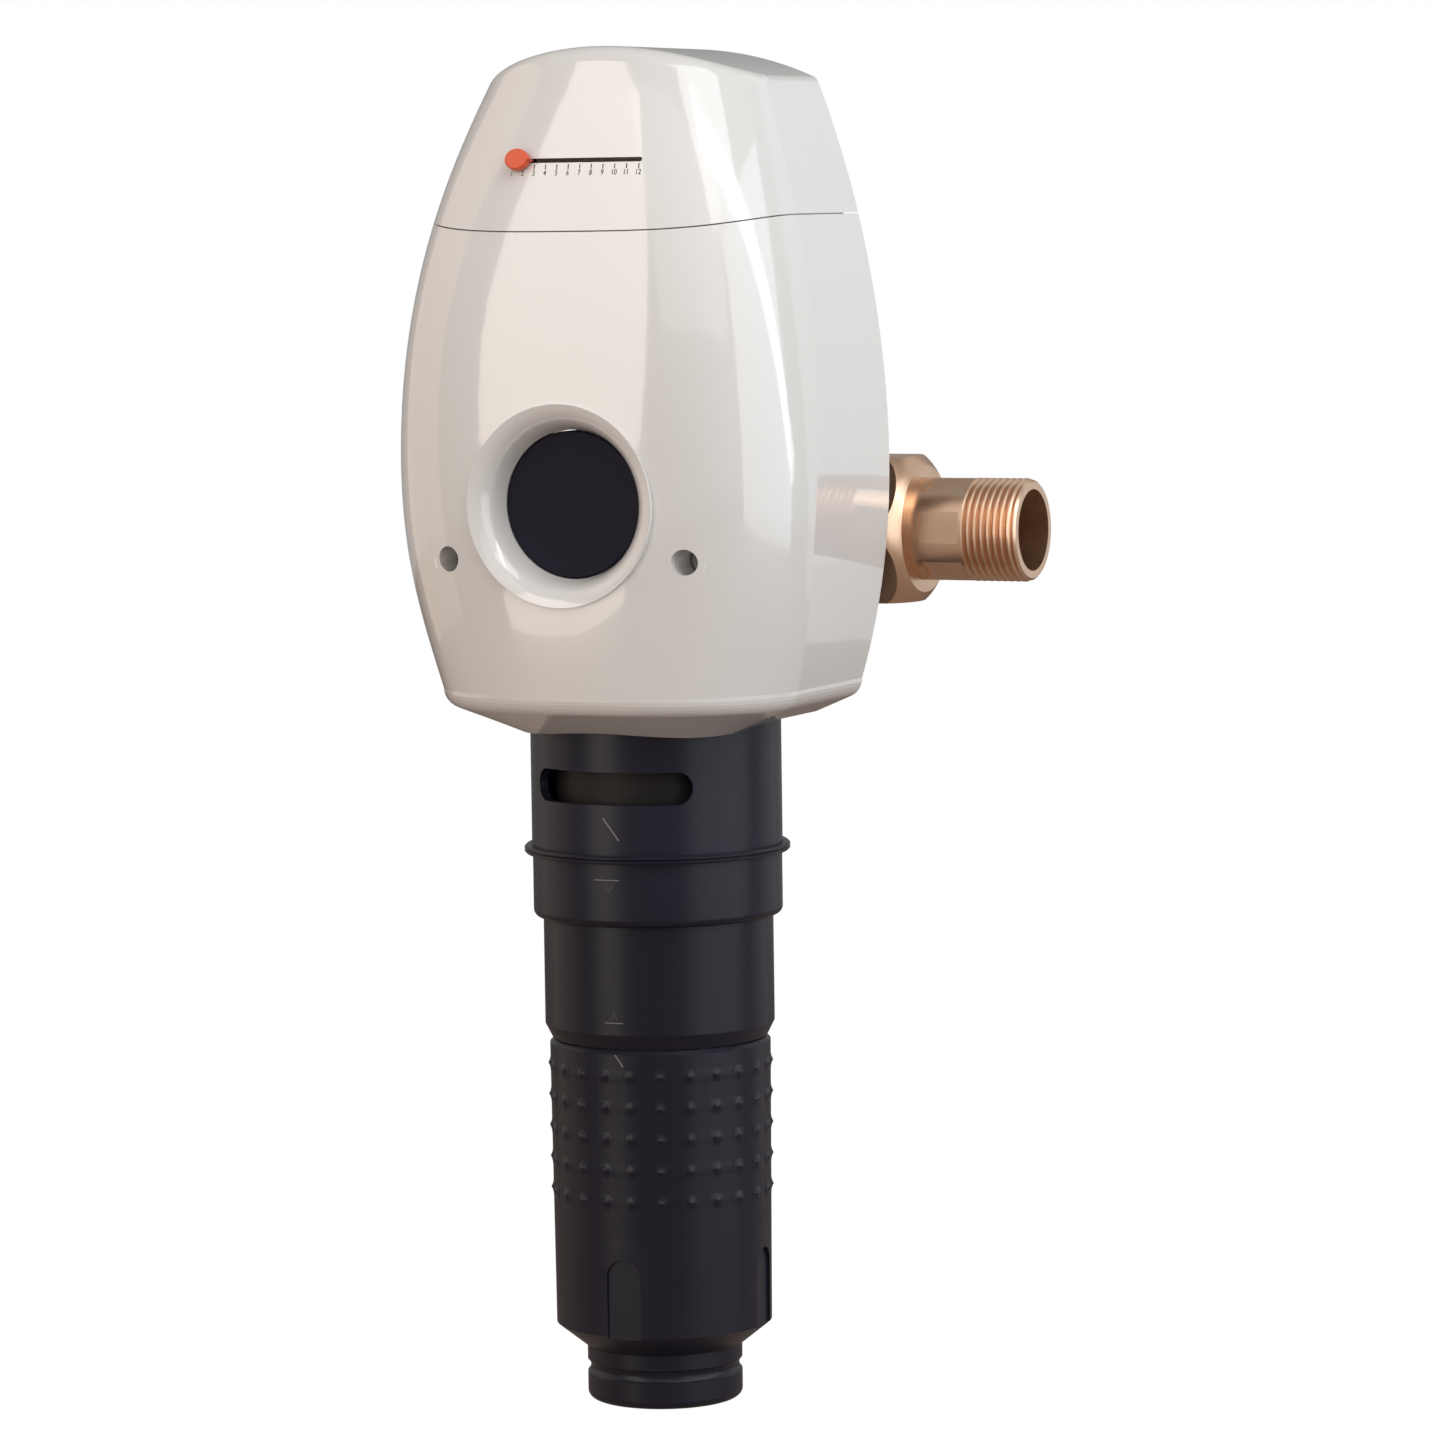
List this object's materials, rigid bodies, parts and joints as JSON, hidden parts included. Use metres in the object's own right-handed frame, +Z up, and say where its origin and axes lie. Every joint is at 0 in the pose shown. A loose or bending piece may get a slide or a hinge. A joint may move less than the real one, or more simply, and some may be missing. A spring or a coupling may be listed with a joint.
{
  "type": "backwash water filter",
  "caption": "Upright domestic water filter with a barrel-shaped glossy hood, black backwash grip, drain spigot and a flanged pipe body with threaded unions behind it.",
  "frame": {"origin": "centre of the drain spigot's open end, on the filter's upright axis", "axes": "+Z up along the filter's axis, +X along the pipe towards the outlet, -Y towards the front"},
  "size_m": [0.2152, 0.153, 0.4332],
  "materials": {
    "hood_white": "glossy",
    "black_plastic": "satin",
    "black_gloss": "glossy",
    "bowl_dark": "glossy",
    "inner_white": "satin",
    "valve_ceramic": "smooth",
    "screen_steel": "fine mesh",
    "steel": "zinc plated",
    "brass": "machined",
    "seal_rubber": "smooth",
    "pointer_orange": "satin"
  },
  "bodies": {
    "filter": {"drain_spigot": "black_plastic", "housing_sleeve": "black_plastic", "clamp_ring": "black_plastic", "head_skirt": "black_plastic", "front_cap": "black_gloss", "bowl": "bowl_dark", "bowl_seal": "seal_rubber", "shaft_seal": "seal_rubber", "screen_cage": "inner_white", "filter_screen": "screen_steel", "flow_guide": "inner_white", "upper_bush": "inner_white", "lower_bush": "inner_white", "valve_seat": "valve_ceramic", "filter_head": "brass", "flange_body": "brass", "union_nut_left": "brass", "union_nut_right": "brass", "tailpiece_left": "brass", "tailpiece_right": "brass", "flange_gasket": "seal_rubber", "union_gasket_left": "seal_rubber", "union_gasket_right": "seal_rubber", "flange_bolts": "steel", "hood_bracket": "black_plastic", "hood_shell": "hood_white", "hood_screws": "steel"},
    "lid": {"hood_lid": "hood_white"},
    "pointer": {"date_pointer": "pointer_orange", "pointer_clip": "black_plastic"},
    "grip": {"grip_sleeve": "black_plastic", "drive_hub": "black_plastic", "rotor_shaft": "inner_white", "suction_nozzles": "inner_white", "valve_disc": "valve_ceramic"}
  },
  "joints": [
    {"name": "grip_turn", "type": "hinge", "parent": "filter", "child": "grip", "pos_m": [0, 0, 0.11], "axis": [0, 0, 1], "range_deg": [0, 180]},
    {"name": "lid_lift", "type": "slide", "parent": "filter", "child": "lid", "axis": [0, 0, 1], "range_m": [0, 0.03]},
    {"name": "pointer_slide", "type": "slide", "parent": "lid", "child": "pointer", "axis": [1, 0, 0], "range_m": [0, 0.04]}
  ]
}
